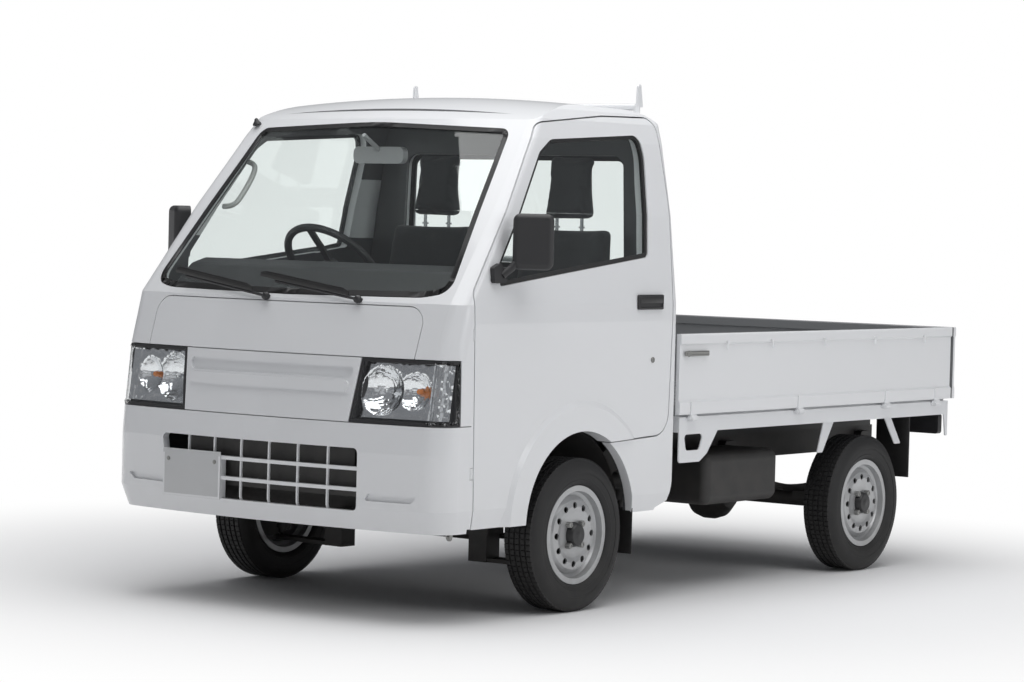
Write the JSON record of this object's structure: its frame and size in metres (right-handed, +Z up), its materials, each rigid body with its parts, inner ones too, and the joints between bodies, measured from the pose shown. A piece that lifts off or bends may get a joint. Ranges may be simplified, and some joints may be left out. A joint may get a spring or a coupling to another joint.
{
  "type": "compact cab-over pickup truck",
  "caption": "Small white cab-over pickup with steering front wheels, hinged doors, a drop-side load bed and a load guard behind the cab.",
  "frame": {"origin": "on the ground under the centre of the bounding box", "axes": "-Y is the way the truck faces, +X is its left side, +Z is up"},
  "size_m": [1.7046, 3.3937, 1.8168],
  "materials": {
    "body_paint": "gloss white",
    "black_plastic": "grained",
    "chassis_steel": "black chassis paint",
    "casting": "cast",
    "lamp_plastic": "clear lens",
    "clear_glass": "clear",
    "wheel_steel": "silver",
    "tyre_rubber": "tread",
    "seat_cloth": "woven and vinyl",
    "grey_plastic": "satin"
  },
  "bodies": {
    "chassis": {"cab_body": "body_paint", "front_panel": "body_paint", "grille_panel": "body_paint", "front_bumper": "body_paint", "bed_deck": "body_paint", "guard_frame": "body_paint", "cab_floor": "black_plastic", "dashboard": "black_plastic", "wipers": "black_plastic", "frame_rails": "chassis_steel", "rear_axle": "chassis_steel", "front_suspension": "chassis_steel", "exhaust": "chassis_steel", "fuel_tank": "chassis_steel", "powertrain": "casting", "headlamp_left": "lamp_plastic", "headlamp_right": "lamp_plastic", "tail_lamp_left": "lamp_plastic", "tail_lamp_right": "lamp_plastic", "windscreen": "clear_glass", "rear_window": "clear_glass", "seat_left": "seat_cloth", "seat_right": "seat_cloth", "room_mirror": "grey_plastic"},
    "door_left": {"door_left": "body_paint", "door_glass_left": "clear_glass", "mirror_left": "black_plastic"},
    "door_right": {"door_right": "body_paint", "door_glass_right": "clear_glass", "mirror_right": "black_plastic"},
    "gate_left": {"gate_left": "body_paint"},
    "gate_right": {"gate_right": "body_paint"},
    "gate_rear": {"gate_rear": "body_paint"},
    "knuckle_left": {"knuckle_left": "chassis_steel"},
    "knuckle_right": {"knuckle_right": "chassis_steel"},
    "steering_wheel": {"steering_wheel": "black_plastic"},
    "steering_rack": {"steering_rack": "chassis_steel"},
    "wheel_front_left": {"rim_front_left": "wheel_steel", "tyre_front_left": "tyre_rubber"},
    "wheel_front_right": {"rim_front_right": "wheel_steel", "tyre_front_right": "tyre_rubber"},
    "wheel_rear_left": {"rim_rear_left": "wheel_steel", "tyre_rear_left": "tyre_rubber"},
    "wheel_rear_right": {"rim_rear_right": "wheel_steel", "tyre_rear_right": "tyre_rubber"}
  },
  "joints": [
    {"name": "door_left_hinge", "type": "hinge", "parent": "chassis", "child": "door_left", "pos_m": [0.7225, -1.485, 0.9], "axis": [0, 0, -1], "range_deg": [0, 70]},
    {"name": "door_right_hinge", "type": "hinge", "parent": "chassis", "child": "door_right", "pos_m": [-0.7225, -1.485, 0.9], "axis": [0, 0, 1], "range_deg": [0, 70]},
    {"name": "gate_left_hinge", "type": "hinge", "parent": "chassis", "child": "gate_left", "pos_m": [0.7275, 0.5, 0.636], "axis": [0, 1, 0], "range_deg": [0, 165]},
    {"name": "gate_right_hinge", "type": "hinge", "parent": "chassis", "child": "gate_right", "pos_m": [-0.7275, 0.5, 0.636], "axis": [0, -1, 0], "range_deg": [0, 165]},
    {"name": "gate_rear_hinge", "type": "hinge", "parent": "chassis", "child": "gate_rear", "pos_m": [0, 1.6875, 0.636], "axis": [-1, 0, 0], "range_deg": [0, 165]},
    {"name": "steer_left", "type": "hinge", "parent": "chassis", "child": "knuckle_left", "pos_m": [0.612, -0.869, 0.176], "axis": [-0.2084, 0, 0.978], "range_deg": [-36, 36]},
    {"name": "steer_right", "type": "hinge", "parent": "chassis", "child": "knuckle_right", "pos_m": [-0.612, -0.869, 0.176], "axis": [0.2084, 0, 0.978], "range_deg": [-36, 36]},
    {"name": "steering_wheel_turn", "type": "hinge", "parent": "chassis", "child": "steering_wheel", "pos_m": [-0.3, -0.985, 1.15], "axis": [0, 0.7071, 0.7071], "range_deg": [-630, 630]},
    {"name": "steering_rack_slide", "type": "slide", "parent": "chassis", "child": "steering_rack", "axis": [1, 0, 0], "range_m": [-0.038, 0.038]},
    {"name": "wheel_front_left_spin", "type": "hinge", "parent": "knuckle_left", "child": "wheel_front_left", "pos_m": [0.6525, -0.869, 0.262], "axis": [1, 0, 0], "continuous": true},
    {"name": "wheel_front_right_spin", "type": "hinge", "parent": "knuckle_right", "child": "wheel_front_right", "pos_m": [-0.6525, -0.869, 0.262], "axis": [1, 0, 0], "continuous": true},
    {"name": "wheel_rear_left_spin", "type": "hinge", "parent": "chassis", "child": "wheel_rear_left", "pos_m": [0.645, 1.036, 0.262], "axis": [1, 0, 0], "continuous": true},
    {"name": "wheel_rear_right_spin", "type": "hinge", "parent": "chassis", "child": "wheel_rear_right", "pos_m": [-0.645, 1.036, 0.262], "axis": [1, 0, 0], "continuous": true}
  ],
  "couplings": [
    {"joint": "steer_right", "follows": "steer_left", "ratio": 1},
    {"joint": "steering_wheel_turn", "follows": "steer_left", "ratio": 17.5},
    {"joint": "steering_rack_slide", "follows": "steer_left", "m_per_rad": -0.06}
  ]
}
